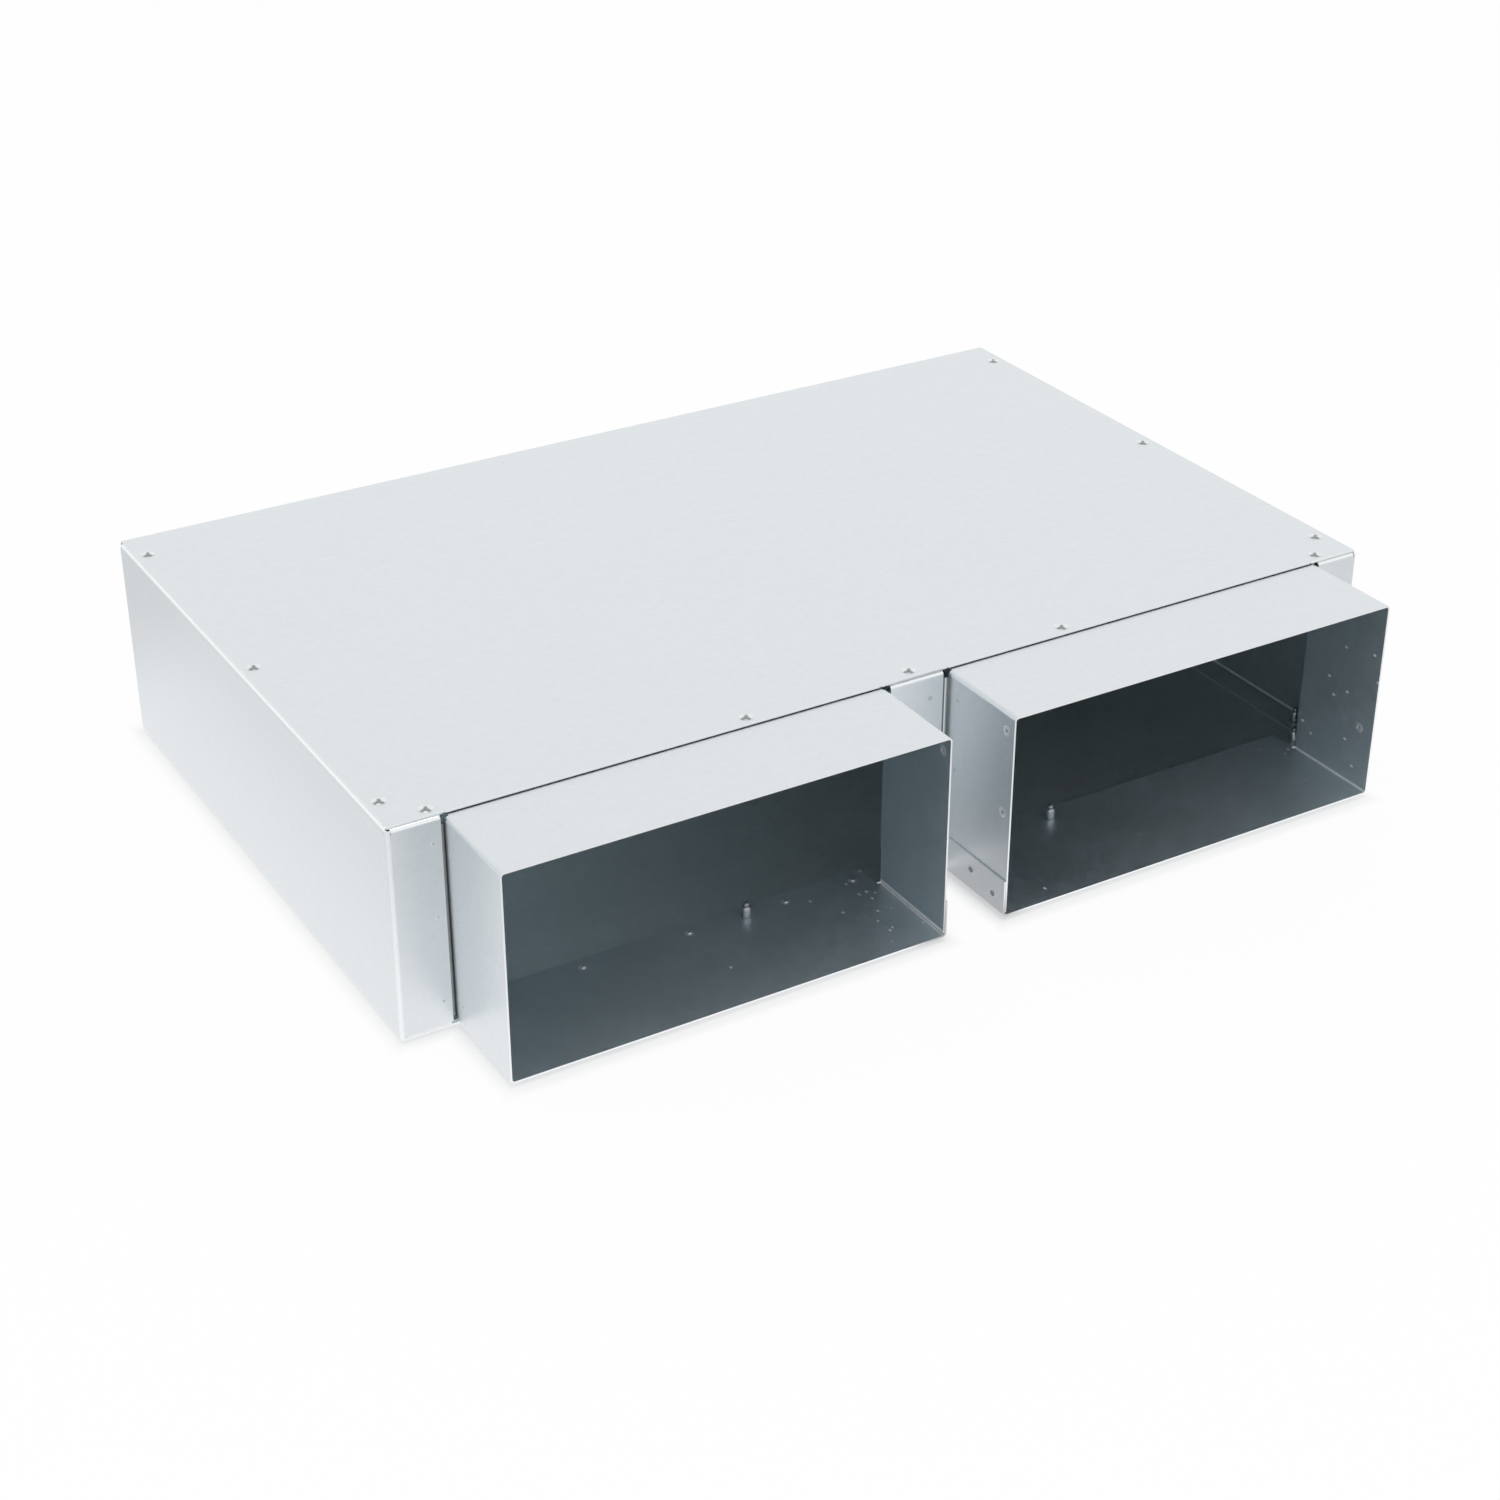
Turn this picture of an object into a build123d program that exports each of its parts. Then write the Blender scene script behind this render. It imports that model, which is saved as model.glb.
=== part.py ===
"""Flat duct manifold: a shallow galvanised plenum box with two rectangular spigots on its front.

Millimetres, +Z up, X along the front, spigots towards -Y. The origin is the bottom centre of the
whole part, on the plane of the rivet heads that it stands on.
"""
import os

from build123d import *

# Sheet and folds
sheet = 0.8
bend_radius = 1.2

# Box, with the strips of its front beside and between the spigots
box_depth = 310.0
box_height = 102.0
side_strip = 25.0
centre_strip = 30.0
edge_setback = 1.2
flange_width = 14.0
mitre_gap = 0.6
corner_gap = 0.5
relief_clearance = 0.2

# Spigots
spigot_width = 210.0
spigot_length = 50.0
spigot_headroom = 0.5
strip_clearance = 0.2
cut_out_relief = 0.8
tongue_depth = 15.0
root_flange = 10.0
root_relief = 1.5
lap_height = 18.0
lap_clearance = 0.1

# Blind rivets
shank_diameter = 3.2
shank_sides = 10
hole_clearance = 0.1
head_diameter = 6.5
head_height = 0.9
bulb_diameter = 4.8
bulb_length = 5.5
rivet_inset = 7.0
corner_rivet_offset = 4.5
tongue_rivet_offset = 67.0
side_rivet_inset = 22.0

# Derived planes and radii
spigot_inner = centre_strip / 2
spigot_outer = spigot_inner + spigot_width
half_width = spigot_outer + side_strip
y_front = (spigot_length - box_depth) / 2
y_back = y_front + box_depth
y_mouth = y_front - spigot_length
z_under = head_height
z_over = z_under + box_height
z_spigot_low = z_under + 2 * sheet
z_spigot_high = z_over - sheet - spigot_headroom
bend_middle = bend_radius + sheet / 2
bend_outer = bend_radius + sheet
strip_gap = bend_radius + strip_clearance
relief = bend_outer + relief_clearance
y_root = y_front + 2 * sheet - bend_outer


def block(x, y, z):
    """Box between two limits on each axis."""
    size = [high - low for low, high in (x, y, z)]
    middle = [(high + low) / 2 for low, high in (x, y, z)]
    return Pos(*middle) * Box(*size)


def front_rivets():
    """X and Y of the five rivets along the front edge, from left to right."""
    end = spigot_outer + corner_rivet_offset
    tongue = spigot_inner + tongue_rivet_offset
    return [(x, y_front + rivet_inset) for x in (-end, -tongue, 0.0, tongue, end)]


def side_rivets(side):
    """X and Y of the three rivets along one side edge, from front to back."""
    x = side * (half_width - rivet_inset)
    first, last = y_front + side_rivet_inset, y_back - side_rivet_inset
    return [(x, y) for y in (first, (first + last) / 2, last)]


def shank(diameter, length):
    """Upright prism under Z 0 with the few sides of a shank, which head and bulb hide."""
    return extrude(RegularPolygon(diameter / 2, shank_sides), -length)


def rivet_holes():
    """Drillings for every rivet, through the whole height."""
    drill = shank(shank_diameter + hole_clearance, 2 * z_over)
    return [Pos(x, y, 1.5 * z_over) * drill for x, y in front_rivets() + side_rivets(-1) + side_rivets(1)]


def casing_wrap():
    """Top, back and bottom, folded from one sheet and open at the front and the sides."""
    low, high = z_under + sheet / 2, z_over - sheet / 2
    rim, rear = y_front + edge_setback, y_back - sheet / 2
    fold = FilletPolyline((rim, low), (rear, low), (rear, high), (rim, high), radius=bend_middle)
    return extrude(Plane.YZ * trace(fold, sheet), half_width - edge_setback, both=True) - rivet_holes()


def front_and_sides():
    """Left side, front and right side, folded from one sheet with flanges turned inwards."""
    low, high, rear = z_under + sheet, z_over - sheet, y_back - sheet
    skin = block((-half_width, half_width), (y_front, rear), (low, high))
    core = block(
        (sheet - half_width, half_width - sheet), (y_front + sheet, rear - sheet), (low + sheet, high - sheet)
    )
    folded = fillet(skin.edges(), bend_outer) - fillet(core.edges(), bend_radius)
    inner = half_width - flange_width
    folded -= block((-inner, inner), (y_front + flange_width, y_back), (z_under, z_over))
    for side in (-1, 1):
        folded -= spigot_cut_out(side)
        for edge in (low, high):
            folded -= corner_relief(side, edge)
            folded -= rear_relief(side, edge)
        folded += upright_fold(side)
    return folded - rivet_holes()


def spigot_cut_out(side):
    """Opening for one spigot, out through the upper flange and notched where the lower folds beside it end."""
    near, far = spigot_inner - strip_gap, spigot_outer + strip_gap
    x, y = sorted((side * near, side * far)), (y_front - sheet, y_front + bend_outer)
    opening = block(x, y, (z_under, z_over))
    opening += block(x, (y_front, y_front + 2 * flange_width), (z_over - sheet - relief, z_over))
    notched = sorted((side * (near - cut_out_relief), side * (far + cut_out_relief)))
    return opening + block(notched, y, (z_under, z_under + sheet + relief))


def corner_relief(side, edge):
    """Notch and mitre slit that free the two flanges from each other at a front corner."""
    x = sorted((side * (half_width - relief), side * (half_width + sheet)))
    notch = block(x, (y_front - sheet, y_front + relief), (edge - relief, edge + relief))
    corner = Pos(side * (half_width - bend_outer), y_front + bend_outer, edge)
    return notch + corner * Rot(0, 0, side * 45) * Box(mitre_gap, 4 * flange_width, 2 * relief)


def upright_fold(side):
    """Upright fold of a front corner, carried past the flanges almost to the sheets above and below."""
    x, y = side * (half_width - bend_outer), y_front + bend_outer
    z = (z_under + sheet + corner_gap, z_over - sheet - corner_gap)
    bar = Cylinder(bend_outer, z[1] - z[0]) - Cylinder(bend_radius, z[1] - z[0])
    return Pos(x, y, sum(z) / 2) * bar & block(sorted((x, side * half_width)), (y_front, y), z)


def rear_relief(side, edge):
    """Notch that frees the rear flange from the top or bottom flange."""
    x = sorted((side * (half_width + sheet), side * (half_width - 2 * flange_width)))
    return block(x, (y_back - sheet - relief, y_back), (edge - relief, edge + relief))


def spigot(side):
    """Folded rectangular spigot, its lap seam on the wall that faces the middle of the part."""
    outer_wall = side * (spigot_outer - sheet / 2)
    lap_wall = side * (spigot_inner + sheet / 2)
    inner_wall = lap_wall + side * (sheet + lap_clearance)
    floor, roof = z_spigot_low + sheet / 2, z_spigot_high - sheet / 2
    loop = FilletPolyline(
        (inner_wall, z_spigot_low + bend_outer),
        (inner_wall, roof),
        (outer_wall, roof),
        (outer_wall, floor),
        (lap_wall, floor),
        (lap_wall, z_spigot_low + lap_height),
        radius=bend_middle,
    )
    tube = extrude(Plane.XZ.offset(-y_root) * trace(loop, sheet), y_root - y_mouth)
    tongue_x = sorted((inner_wall + side * bend_middle, outer_wall - side * bend_middle))
    for middle in (floor, roof):
        tube += block(tongue_x, (y_root, y_front + tongue_depth), (middle - sheet / 2, middle + sheet / 2))
    lowest, highest = z_spigot_low + bend_outer + root_relief, z_spigot_high - bend_outer - root_relief
    tube += spigot_root(outer_wall, side, lowest, highest)
    tube += spigot_root(inner_wall, -side, z_spigot_low + lap_height + root_relief, highest)
    return tube - rivet_holes()


def spigot_root(wall, outwards, lowest, highest):
    """Flange at the root of a spigot wall, turned outwards behind the strip of the front."""
    y_flange = y_front + sheet * 1.5
    fold = FilletPolyline(
        (wall, y_root - sheet),
        (wall, y_flange),
        (wall + outwards * (root_flange + sheet / 2), y_flange),
        radius=bend_middle,
    )
    return extrude(Plane.XY.offset(lowest) * trace(fold, sheet), highest - lowest)


def rivet(grip):
    """Set blind rivet: domed head above Z 0, shank through a stack of sheets and bulb below them."""
    head = head_diameter / 2
    crown = (head**2 + head_height**2) / (2 * head_height)
    dome = RadiusArc((head, 0), (0, head_height), -crown)
    section = make_face(dome + Polyline((0, head_height), (0, 0), (head, 0)))
    bulb = Pos(0, 0, -grip - bulb_length / 2) * Cylinder(bulb_diameter / 2, bulb_length)
    return revolve(Plane.XZ * section, Axis.Z) + shank(shank_diameter, grip) + bulb


def rivet_row(places, on_top):
    """Rivets of one row, on the top or in the same places on the underside."""
    row = []
    for x, y in places:
        in_tongue = y < y_front + tongue_depth and spigot_inner < abs(x) < spigot_outer
        if on_top:
            headroom = spigot_headroom if in_tongue else 0.0
            row.append(Pos(x, y, z_over) * rivet(2 * sheet + headroom))
        else:
            flange = sheet if in_tongue else 0.0
            row.append(Pos(x, y, z_under) * Rot(180, 0, 0) * rivet(2 * sheet + flange))
    return Compound(row)


parts = {
    "casing_wrap": casing_wrap(),
    "front_and_sides": front_and_sides(),
    "left_spigot": spigot(-1),
    "right_spigot": spigot(1),
}
for level, on_top in (("top", True), ("bottom", False)):
    parts[f"{level}_front_rivets"] = rivet_row(front_rivets(), on_top)
    parts[f"{level}_left_rivets"] = rivet_row(side_rivets(-1), on_top)
    parts[f"{level}_right_rivets"] = rivet_row(side_rivets(1), on_top)

os.makedirs("parts", exist_ok=True)
for name, shape in parts.items():
    export_step(shape, f"parts/{name}.step")
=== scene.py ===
"""Looks of the flat duct manifold: folded zinc-coated sheet, blind rivets, press marks and the studio."""

from __future__ import annotations

import functools
import logging
import math
from collections.abc import Callable, Sequence
from dataclasses import dataclass, replace
from enum import Enum
from typing import ClassVar

import bpy
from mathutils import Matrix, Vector


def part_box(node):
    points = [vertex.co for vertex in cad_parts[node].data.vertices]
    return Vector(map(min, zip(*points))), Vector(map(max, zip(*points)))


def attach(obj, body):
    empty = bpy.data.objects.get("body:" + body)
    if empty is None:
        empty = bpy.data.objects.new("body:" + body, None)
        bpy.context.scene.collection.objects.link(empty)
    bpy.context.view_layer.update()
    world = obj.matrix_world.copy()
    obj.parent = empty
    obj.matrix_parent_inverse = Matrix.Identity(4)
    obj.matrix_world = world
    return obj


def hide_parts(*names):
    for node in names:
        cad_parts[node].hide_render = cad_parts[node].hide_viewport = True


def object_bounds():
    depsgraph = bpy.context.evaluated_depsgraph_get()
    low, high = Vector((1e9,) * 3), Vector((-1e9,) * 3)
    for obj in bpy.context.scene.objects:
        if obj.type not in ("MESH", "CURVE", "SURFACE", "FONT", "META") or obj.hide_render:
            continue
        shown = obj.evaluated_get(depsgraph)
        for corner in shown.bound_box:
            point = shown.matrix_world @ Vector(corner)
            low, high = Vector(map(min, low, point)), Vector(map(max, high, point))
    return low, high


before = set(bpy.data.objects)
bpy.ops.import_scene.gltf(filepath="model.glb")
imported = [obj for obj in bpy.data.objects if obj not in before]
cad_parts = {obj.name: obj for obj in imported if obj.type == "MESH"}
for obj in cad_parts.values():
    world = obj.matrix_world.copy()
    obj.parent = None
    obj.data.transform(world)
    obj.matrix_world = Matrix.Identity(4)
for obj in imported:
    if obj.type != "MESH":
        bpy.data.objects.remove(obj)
CAD_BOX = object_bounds()

MM = 0.001
BODY = "root"
LOG = logging.getLogger("duct_manifold")

Colour = tuple[float, float, float]
Pairs = tuple[tuple[float, float], ...]


class Axis(Enum):
    """A direction of the frame, by its place in a vector."""

    X = 0
    Y = 1
    Z = 2


class Facing(Enum):
    """The side that a face of the sheet looks to."""

    LEFT = (-1.0, 0.0, 0.0)
    RIGHT = (1.0, 0.0, 0.0)
    FRONT = (0.0, -1.0, 0.0)
    UP = (0.0, 0.0, 1.0)
    DOWN = (0.0, 0.0, -1.0)


class SlotName(Enum):
    """The record's material slots."""

    SHEET = "galvanised_sheet"
    RIVET = "rivet_aluminium"


class Value:
    """A number on a node's socket, on which arithmetic adds Math nodes."""

    def __init__(self, bench: NodeBench, socket: bpy.types.NodeSocket) -> None:
        """Keep the socket and the bench that its tree is built on."""
        self.bench = bench
        self.socket = socket

    def __add__(self, other: Value | float) -> Value:
        """Add a number or a value."""
        return self.bench.math("ADD", self, other)

    def __radd__(self, other: float) -> Value:
        """Add to a number."""
        return self.bench.math("ADD", other, self)

    def __sub__(self, other: Value | float) -> Value:
        """Take a number or a value away."""
        return self.bench.math("SUBTRACT", self, other)

    def __rsub__(self, other: float) -> Value:
        """Take the value away from a number."""
        return self.bench.math("SUBTRACT", other, self)

    def __mul__(self, other: Value | float) -> Value:
        """Multiply by a number or a value."""
        return self.bench.math("MULTIPLY", self, other)

    def __rmul__(self, other: float) -> Value:
        """Multiply a number."""
        return self.bench.math("MULTIPLY", other, self)

    def __neg__(self) -> Value:
        """Turn the sign round."""
        return self.bench.math("MULTIPLY", self, -1.0)

    def __abs__(self) -> Value:
        """Drop the sign."""
        return self.bench.math("ABSOLUTE", self)

    def __lt__(self, other: Value | float) -> Value:
        """Give 1 where the value is less, and 0 elsewhere."""
        return self.bench.math("LESS_THAN", self, other)

    def __gt__(self, other: Value | float) -> Value:
        """Give 1 where the value is more, and 0 elsewhere."""
        return self.bench.math("GREATER_THAN", self, other)

    def larger(self, other: Value | float) -> Value:
        """Give the larger of two values."""
        return self.bench.math("MAXIMUM", self, other)

    def smaller(self, other: Value | float) -> Value:
        """Give the smaller of two values."""
        return self.bench.math("MINIMUM", self, other)

    def rise(self, low: float, high: float) -> Value:
        """Climb smoothly from 0 at low to 1 at high.

        Args:
            low: the value that gives 0.
            high: the value that gives 1, which may be the smaller one.

        Returns:
            The climbed value, held between 0 and 1.
        """
        node = self.bench.add("ShaderNodeMapRange", {"interpolation_type": "SMOOTHSTEP"},
                              {"Value": self, "From Min": low, "From Max": high})
        return self.bench.value(node, "Result")


Entry = "Value | bpy.types.NodeSocket | float | Sequence[float] | str | bool"


class NodeBench:
    """Adds and links the nodes of one shader or geometry tree."""

    def __init__(self, tree: bpy.types.NodeTree) -> None:
        """Start on a tree."""
        self.tree = tree

    def add(self, kind: str, settings: dict[str, object] | None = None,
            inputs: dict[str | int, Entry] | None = None) -> bpy.types.Node:
        """Add one node.

        Args:
            kind: the node's type.
            settings: its properties, set first; "items" is the number of an Index Switch's items.
            inputs: a value or a link for each socket, by the socket's name or number.

        Returns:
            The new node.
        """
        node = self.tree.nodes.new(kind)
        for name, setting in (settings or {}).items():
            if name == "items":
                while len(node.index_switch_items) < setting:
                    node.index_switch_items.new()
            else:
                setattr(node, name, setting)
        for key, entry in (inputs or {}).items():
            socket = node.inputs[key] if isinstance(key, int) else self.live(node.inputs, key)
            source = entry.socket if isinstance(entry, Value) else entry
            if isinstance(source, bpy.types.NodeSocket):
                self.tree.links.new(source, socket)
            else:
                socket.default_value = source
        return node

    @staticmethod
    def live(sockets: Sequence[bpy.types.NodeSocket], name: str) -> bpy.types.NodeSocket:
        """Find the socket of that name that the node's settings leave in use."""
        return next(socket for socket in sockets if socket.name == name and socket.enabled)

    def link(self, node: bpy.types.Node, name: str) -> bpy.types.NodeSocket:
        """Give an output of a node."""
        return self.live(node.outputs, name)

    def value(self, node: bpy.types.Node, name: str) -> Value:
        """Give an output of a node as a number to calculate with."""
        return Value(self, self.live(node.outputs, name))

    def math(self, operation: str, *terms: Value | float) -> Value:
        """Add a Math node.

        Args:
            operation: what it does.
            terms: its values, in order.

        Returns:
            Its result.
        """
        node = self.add("ShaderNodeMath", {"operation": operation}, dict(enumerate(terms)))
        return self.value(node, "Value")


class ShaderBench(NodeBench):
    """Builds one material out of patterns that lie in the object's own frame."""

    def __init__(self, name: str) -> None:
        """Make an empty material of that name."""
        self.material = bpy.data.materials.new(name)
        self.material.use_nodes = True
        super().__init__(self.material.node_tree)
        self.tree.nodes.clear()
        coordinates = self.add("ShaderNodeTexCoord")
        self.where = self.link(coordinates, "Object")

    def stretched(self, shares: Sequence[float]) -> bpy.types.NodeSocket:
        """Give the place on the object with each direction multiplied by a share."""
        node = self.add("ShaderNodeVectorMath", {"operation": "MULTIPLY"}, {0: self.where, 1: shares})
        return self.link(node, "Vector")

    def noise(self, size: float, detail: float = 2.0, where: bpy.types.NodeSocket | None = None) -> Value:
        """Add soft noise.

        Args:
            size: the width of its blotches.
            detail: how many finer layers it has.
            where: the place that it is read at, or None for the plain place.

        Returns:
            Its value, about 0.5 on average.
        """
        inputs = {"Vector": where or self.where, "Scale": 1.0 / size, "Detail": detail}
        return self.value(self.add("ShaderNodeTexNoise", {}, inputs), "Fac")

    def cells(self, size: float, where: bpy.types.NodeSocket | None = None) -> tuple[Value, Value]:
        """Add cells of random shape.

        Args:
            size: the width of a cell.
            where: the place that they are read at, or None for the plain place.

        Returns:
            The distance from the cell's seed, as a share of the size, and a random number for each cell.
        """
        node = self.add("ShaderNodeTexVoronoi", {}, {"Vector": where or self.where, "Scale": 1.0 / size})
        split = self.add("ShaderNodeSeparateColor", {}, {"Color": self.link(node, "Color")})
        return self.value(node, "Distance"), self.value(split, "Red")

    def along(self, axis: Axis) -> Value:
        """Give the place along one direction of the frame."""
        split = self.add("ShaderNodeSeparateXYZ", {}, {"Vector": self.where})
        return self.value(split, axis.name)

    def attribute(self, name: str) -> Value:
        """Give a number that the mesh holds at each point."""
        node = self.add("ShaderNodeAttribute", {"attribute_name": name, "attribute_type": "GEOMETRY"})
        return self.value(node, "Fac")

    def toned(self, colour: bpy.types.NodeSocket | Colour, tone: Value) -> bpy.types.NodeSocket:
        """Make a colour lighter or darker by a varying factor."""
        node = self.add("ShaderNodeVectorMath", {"operation": "SCALE"}, {"Vector": colour, "Scale": tone})
        return self.link(node, "Vector")

    def mixed(self, share: Value, base: bpy.types.NodeSocket | Colour, top: bpy.types.NodeSocket | Colour
              ) -> bpy.types.NodeSocket:
        """Lay one colour over another.

        Args:
            share: how much of the top colour shows.
            base: the colour underneath.
            top: the colour laid over it.

        Returns:
            The mixed colour.
        """
        colours = {"A": base, "B": top}
        full = {key: entry if isinstance(entry, bpy.types.NodeSocket) else (*entry, 1.0)
                for key, entry in colours.items()}
        node = self.add("ShaderNodeMix", {"data_type": "RGBA"}, {"Factor": share, **full})
        return self.link(node, "Result")

    def bump(self, height: Value) -> bpy.types.NodeSocket:
        """Tilt the surface by a height in metres."""
        node = self.add("ShaderNodeBump", {}, {"Strength": 1.0, "Distance": 1.0, "Height": height})
        return self.link(node, "Normal")

    def metal(self, colour: bpy.types.NodeSocket, roughness: Value, height: Value,
              bare: Value | float = 1.0) -> bpy.types.Material:
        """Close the tree with a metal shader.

        Args:
            colour: the metal's colour.
            roughness: its roughness.
            height: its relief, in metres.
            bare: how bare the metal is of dull oxide.

        Returns:
            The finished material.
        """
        shader = self.add("ShaderNodeBsdfPrincipled", {}, {
            "Base Color": colour,
            "Roughness": roughness,
            "Metallic": bare,
            "Normal": self.bump(height),
        })
        self.add("ShaderNodeOutputMaterial", {}, {"Surface": self.link(shader, "BSDF")})
        return self.material


@dataclass(frozen=True)
class SheetPlane:
    """A plane that a face or an edge of a sheet lies in.

    Attributes:
        axis: the direction that the plane is square to.
        place: where it crosses that direction.
        mirrored: whether the other side of the middle has the same plane.
    """

    axis: Axis
    place: float
    mirrored: bool = False

    def distance(self, bench: ShaderBench) -> Value:
        """Give the distance from the plane at each point."""
        along = bench.along(self.axis)
        return abs((abs(along) if self.mirrored else along) - self.place)


Fold = tuple[SheetPlane, SheetPlane]


@dataclass(frozen=True)
class Zone:
    """A box in the frame that holds some of a sheet's faces."""

    low: Vector
    high: Vector

    def mask(self, bench: ShaderBench) -> Value:
        """Give 1 inside the box and 0 outside it."""
        tests = []
        for axis in Axis:
            along = bench.along(axis)
            tests += [along > self.low[axis.value], along < self.high[axis.value]]
        return functools.reduce(Value.__mul__, tests)


@dataclass(frozen=True)
class SheetPlan:
    """Where the parts of one sheet lie that its finish tells apart.

    Attributes:
        edges: the planes that hold its cut edges, which are painted bright as a painted highlight.
        folds: the pairs of faces that meet in a fold.
        lining: the space inside its skin.
        lit_edges: the planes of edges whose faces beside them get a painted highlight too.
        creases: the hollow folds that are painted darker, as painted shade.
        highlight_zones: the narrow places inside that get a chalky painted highlight.
        painted_light_zones: the places outside that are painted lighter, as painted light.
    """

    edges: Sequence[SheetPlane]
    folds: Sequence[Fold]
    lining: Zone
    lit_edges: Sequence[SheetPlane] = ()
    creases: Sequence[Zone] = ()
    highlight_zones: Sequence[Zone] = ()
    painted_light_zones: Sequence[Zone] = ()


@dataclass(frozen=True)
class ZincSheetFinish:
    """Zinc-coated sheet: cloudy satin and spangle, bright dashes and specks as painted glints, folds with
    burnishing and a painted highlight, edges with a painted highlight, and a dull inside whose colour paints
    the light inside the ducts.

    A size is a pattern's width, a tone what it adds to the lightness, a rough what it adds to the roughness.

    Attributes:
        zinc: the colour of the outer faces.
        lining: the colour of the inner faces, set apart from the outer zinc to paint the light inside the
            ducts: lighter than the zinc here, as painted light, and darker in the spigots' finish, as painted
            shade.
        burnished_highlight: the colour of the outer folds, which stands for burnishing and a painted
            highlight.
        bright: the colour of the painted highlights on edges, folds inside and narrow places inside, and of
            the painted glints of specks and dashes.
        lining_oxide: how oxidised the inner faces are at their left end and at their right end.
        oxide_climb: what the oxide is multiplied by at the bottom and at the top.
        painted_lining_shade: how much darker the inner faces are at their right end, as painted shade.
        chalk: how chalky and less metallic the painted highlights and glints inside are.
        painted_crease_shade: how much darker a crease is, as painted shade.
        painted_light: how much lighter such a place is, as painted light.
        fold_shine: how much of that colour the outer folds take, as burnishing and painted highlight.
        fold_streak: how much the streaks break that up.
        fold_core: the share of a fold's reach in which it is full.
        speck_shine: how bright the specks of the outer faces are, as painted glints.
        glint_share: the share of the inner cells that have a painted glint, at the left end and at the right
            end.
        glint_wall: where the one share turns into the other, from 0 at the left to 1 at the right.
        dot_core: the share of a dot's radius in which it is full.
        lit_edge_shine: how bright the painted highlight on the faces beside such an edge is.
    """

    zinc: Colour = (0.757, 0.792, 0.815)
    # The lighter lining colour is painted light inside the casing.
    lining: Colour = (0.85, 0.92, 0.945)
    burnished_highlight: Colour = (0.88, 0.905, 0.92)
    bright: Colour = (0.93, 0.95, 0.96)
    roughness: float = 0.33
    lining_roughness: float = 0.06
    lining_oxide: tuple[float, float] = (0.08, 0.05)
    oxide_climb: tuple[float, float] = (1.2, 0.65)
    painted_lining_shade: float = 0.36
    chalk: float = 0.12
    painted_crease_shade: float = 0.7
    painted_light: float = 0.22
    fold_shine: float = 0.9
    fold_streak: float = 0.8
    fold_rough: float = -0.08
    cloud_size: float = 42 * MM
    cloud_tone: float = 0.055
    cloud_rough: float = 0.10
    spangle_size: float = 3.2 * MM
    spangle_tone: float = 0.035
    spangle_rough: float = 0.05
    grain_size: float = 0.7 * MM
    grain_tone: float = 0.06
    streak_size: float = 1.6 * MM
    streak_tone: float = 0.018
    streak_rough: float = 0.02
    streak_stretch: float = 0.04
    shear_size: float = 0.35 * MM
    shear_tone: float = 0.12
    speck_spacing: float = 6.0 * MM
    speck_radius: float = 0.05
    speck_share: float = 0.22
    speck_shine: float = 0.6
    speck_height: float = 0.0072 * MM
    glint_spacing: float = 4.0 * MM
    glint_stretch: float = 0.6
    glint_radius: float = 0.19
    glint_share: tuple[float, float] = (0.0, 0.0)
    glint_wall: tuple[float, float] = (0.9, 1.0)
    dot_core: float = 0.6
    wave_size: float = 140 * MM
    wave_height: float = 0.10 * MM
    grain_height: float = 0.0012 * MM
    edge_depth: float = 0.02 * MM
    lit_edge_width: float = 0.4 * MM
    lit_edge_shine: float = 0.5
    fold_reach: float = 2.0 * MM
    fold_core: float = 0.55

    def material(self, name: str, plan: SheetPlan) -> bpy.types.Material:
        """Make the finish for one sheet.

        Args:
            name: the material's name.
            plan: where the sheet's edges, folds and inner faces lie.

        Returns:
            The material.
        """
        bench = ShaderBench(name)
        cloud = bench.noise(self.cloud_size, detail=3.0) - 0.5
        grain = bench.noise(self.grain_size, detail=1.0) - 0.5
        rolled = bench.stretched((self.streak_stretch, 1.0, 1.0))
        streak = bench.noise(self.streak_size, where=rolled) - 0.5
        spangle = bench.cells(self.spangle_size)[1] - 0.5
        shear = bench.noise(self.shear_size, detail=1.0) - 0.5
        # Specks: a little relief, and a painted glint in the bright colour.
        speck = self.dotted(*bench.cells(self.speck_spacing), self.speck_radius, self.speck_share)
        fold = self.folded(bench, plan.folds)
        edge = self.sheared(bench, plan.edges, plan.lit_edges)
        inner = plan.lining.mask(bench)
        rightward = bench.along(Axis.X).rise(plan.lining.low.x, plan.lining.high.x)
        upward = bench.along(Axis.Z).rise(plan.lining.low.z, plan.lining.high.z)
        # Painted highlights and glints inside: dashes, specks, folds and the narrow places.
        painted_highlight = self.glint_dashes(bench, rightward).larger(speck).larger(fold)
        painted_highlight = functools.reduce(Value.larger, [highlight_zone.mask(bench) for highlight_zone in plan.highlight_zones], painted_highlight) * inner
        tone = 1.0 + self.cloud_tone * cloud + self.spangle_tone * spangle
        tone = tone + self.grain_tone * grain + self.streak_tone * streak
        # Painted shade: the inner faces darken towards their right end.
        tone = tone - self.painted_lining_shade * inner * rightward
        # Painted shade in the hollow folds at the spigots' roots.
        for crease in plan.creases:
            tone = tone - self.painted_crease_shade * crease.mask(bench)
        # Painted light on the places that are made lighter.
        for lit_zone in plan.painted_light_zones:
            tone = tone + self.painted_light * lit_zone.mask(bench)
        # The inner faces take the lining colour, which paints the light inside: painted light in the casing,
        # painted shade in the spigots.
        skin = bench.toned(bench.mixed(inner, self.zinc, self.lining), tone)
        # The folds' colour: burnishing and a painted highlight.
        sheet = bench.mixed(fold * (self.fold_shine + self.fold_streak * streak), skin, self.burnished_highlight)
        # Painted highlights and glints take the bright colour.
        sheet = bench.mixed(painted_highlight.larger(self.speck_shine * speck), sheet, self.bright)
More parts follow.
